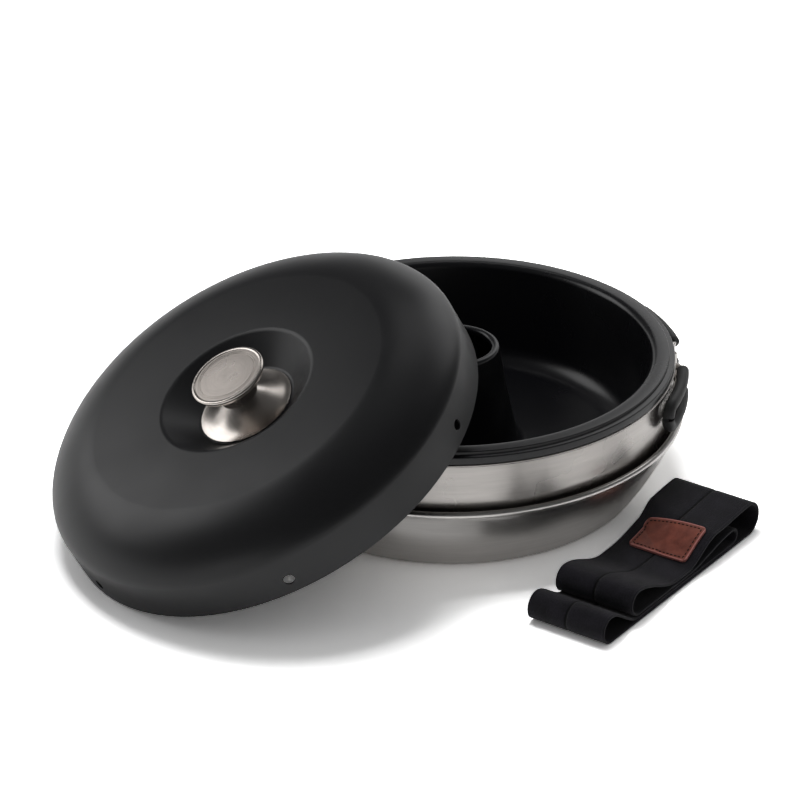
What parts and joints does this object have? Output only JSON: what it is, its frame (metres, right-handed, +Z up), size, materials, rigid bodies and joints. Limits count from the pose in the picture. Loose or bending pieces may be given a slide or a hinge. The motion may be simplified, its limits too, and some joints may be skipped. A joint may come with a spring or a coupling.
{
  "type": "camp oven",
  "caption": "Round stovetop camp oven with base tray, handled ring, ring-shaped baking mould, domed lid with knob, and a folded elastic storage strap.",
  "frame": {"origin": "centre of the base tray's foot, on the surface that it stands on", "axes": "+Z up along the oven's axis, +X to the right, +Y to the rear; the lid leans to the left and front"},
  "size_m": [0.4178, 0.3458, 0.1509],
  "materials": {
    "tray_steel": "brushed",
    "ring_steel": "brushed",
    "bright_steel": "polished",
    "sleeve_rubber": "satin",
    "mould_coat": "semi-gloss",
    "lid_coat": "satin",
    "knob_steel": "polished",
    "cap_steel": "satin",
    "screw_steel": "satin",
    "band_fabric": "matte",
    "patch_leather": "satin"
  },
  "bodies": {
    "base": {"base_tray": "tray_steel"},
    "ring": {"outer_ring": "ring_steel", "bracket_right": "bright_steel", "bracket_left": "bright_steel", "rivets_right": "bright_steel", "rivets_left": "bright_steel"},
    "handle_right_front": {"wire_right_front": "bright_steel", "sleeve_right_front": "sleeve_rubber"},
    "handle_right_rear": {"wire_right_rear": "bright_steel", "sleeve_right_rear": "sleeve_rubber"},
    "handle_left_front": {"wire_left_front": "bright_steel", "sleeve_left_front": "sleeve_rubber"},
    "handle_left_rear": {"wire_left_rear": "bright_steel", "sleeve_left_rear": "sleeve_rubber"},
    "mould": {"baking_mould": "mould_coat"},
    "lid": {"lid_shell": "lid_coat", "knob_base": "knob_steel", "lid_knob": "knob_steel", "knob_cap": "cap_steel", "knob_screw": "screw_steel", "knob_washer": "screw_steel"},
    "strap": {"strap_band": "band_fabric", "strap_patch": "patch_leather"}
  },
  "joints": [
    {"name": "ring_lift", "type": "slide", "parent": "base", "child": "ring", "axis": [0, 0, 1], "range_m": [0, 0.06]},
    {"name": "mould_lift", "type": "slide", "parent": "ring", "child": "mould", "axis": [0, 0, 1], "range_m": [0, 0.09]},
    {"name": "lid_lift", "type": "slide", "parent": "mould", "child": "lid", "axis": [-0.4087, -0.2132, 0.8874], "range_m": [0, 0.12]},
    {"name": "handle_right_front_fold", "type": "hinge", "parent": "ring", "child": "handle_right_front", "pos_m": [0.13554, 0.00183, 0.0668], "axis": [0, 0, 1], "range_deg": [0, 90]},
    {"name": "handle_right_rear_fold", "type": "hinge", "parent": "ring", "child": "handle_right_rear", "pos_m": [0.1338, 0.02174, 0.0668], "axis": [0, 0, -1], "range_deg": [0, 88]},
    {"name": "handle_left_front_fold", "type": "hinge", "parent": "ring", "child": "handle_left_front", "pos_m": [-0.1338, -0.02174, 0.0668], "axis": [0, 0, -1], "range_deg": [0, 80]},
    {"name": "handle_left_rear_fold", "type": "hinge", "parent": "ring", "child": "handle_left_rear", "pos_m": [-0.13554, -0.00183, 0.0668], "axis": [0, 0, 1], "range_deg": [0, 9]},
    {"name": "strap_lift", "type": "slide", "parent": "base", "child": "strap", "axis": [0.5721, -0.4156, 0.7071], "range_m": [0, 0.1]}
  ]
}
